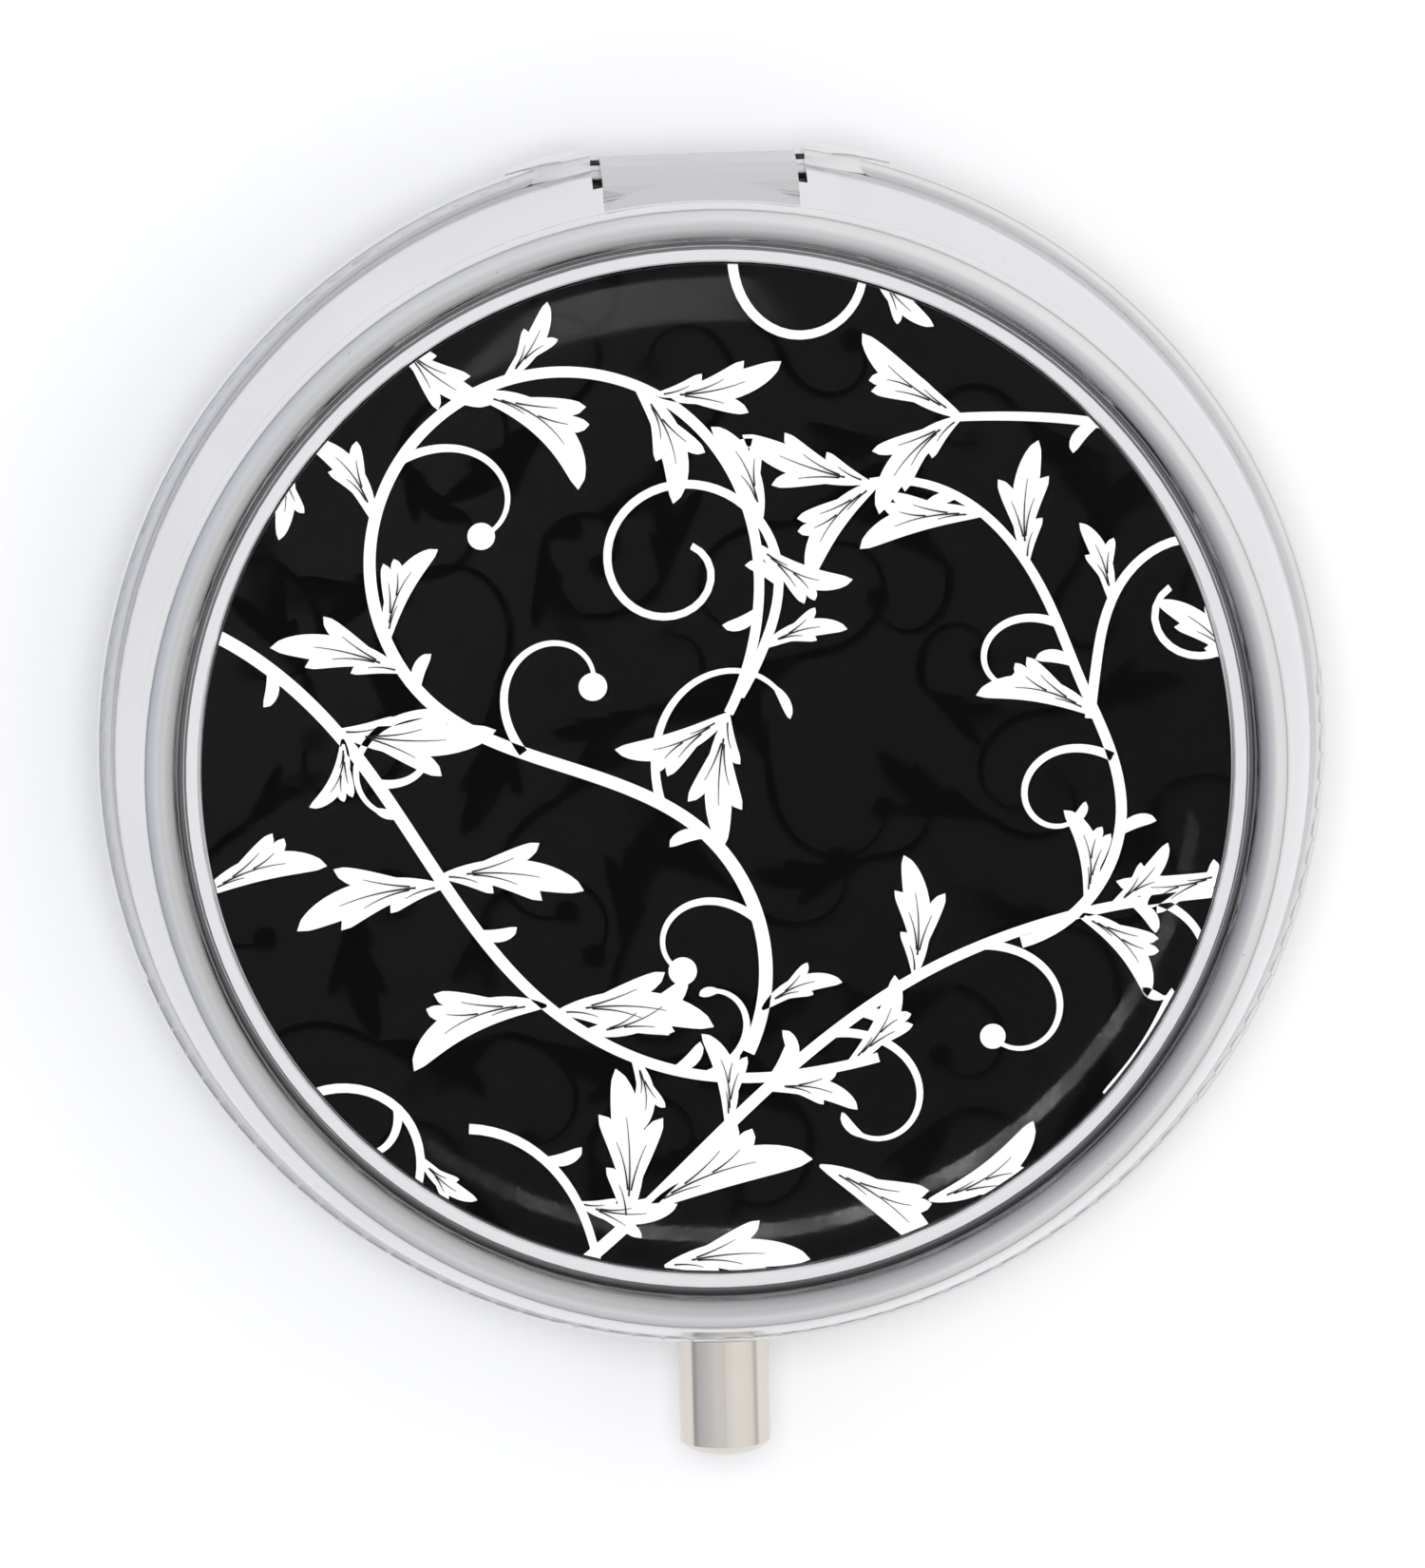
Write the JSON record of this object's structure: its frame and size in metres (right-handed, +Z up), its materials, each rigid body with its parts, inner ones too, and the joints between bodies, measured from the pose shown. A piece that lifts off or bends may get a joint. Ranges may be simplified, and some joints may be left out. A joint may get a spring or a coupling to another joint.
{
  "type": "pill box",
  "caption": "Round metal pill box: hinged lid with a picture under a clear dome, mirror inside, push-button latch and a plastic tray with wells.",
  "frame": {"origin": "centre of the base's flat underside", "axes": "+Z up through the lid, +Y towards the hinge, -Y towards the push button, +X to the right with the button in front"},
  "size_m": [0.05, 0.0549, 0.015],
  "materials": {
    "polished_nickel": "mirror-polished nickel plate on a metal shell",
    "steel": "plain stamped or turned steel",
    "satin_ring": "satin nickel plate",
    "mirror_glass": "silvered flat glass",
    "adhesive": "double-sided adhesive film",
    "printed_film": "black printed film with a white scroll ornament",
    "clear_resin": "clear glossy resin dome",
    "tray_plastic": "moulded white plastic, satin"
  },
  "bodies": {
    "base": {"base_shell": "polished_nickel", "hinge_pin": "steel", "button_bush": "steel", "button_spring": "steel", "latch_bracket": "steel", "bracket_rivets": "steel", "tray_pad": "adhesive", "pill_tray": "tray_plastic"},
    "lid": {"lid_shell": "polished_nickel", "insert_backing": "adhesive", "print_sheet": "printed_film", "crystal_dome": "clear_resin", "mirror_pad": "adhesive", "mirror": "mirror_glass", "mirror_ring": "satin_ring", "lid_catch": "steel", "catch_rivets": "steel"},
    "button": {"push_button": "polished_nickel", "latch_plate": "steel", "stem_clip": "steel"}
  },
  "joints": [
    {"name": "lid_hinge", "type": "hinge", "parent": "base", "child": "lid", "pos_m": [0, 0.02346, 0.0085], "axis": [-1, 0, 0], "range_deg": [0, 105]},
    {"name": "button_press", "type": "slide", "parent": "base", "child": "button", "axis": [0, 1, 0], "range_m": [0, 0.001], "stiffness_N_per_m": 1500, "springref_m": -0.0005, "deforming": ["button_spring"]}
  ]
}
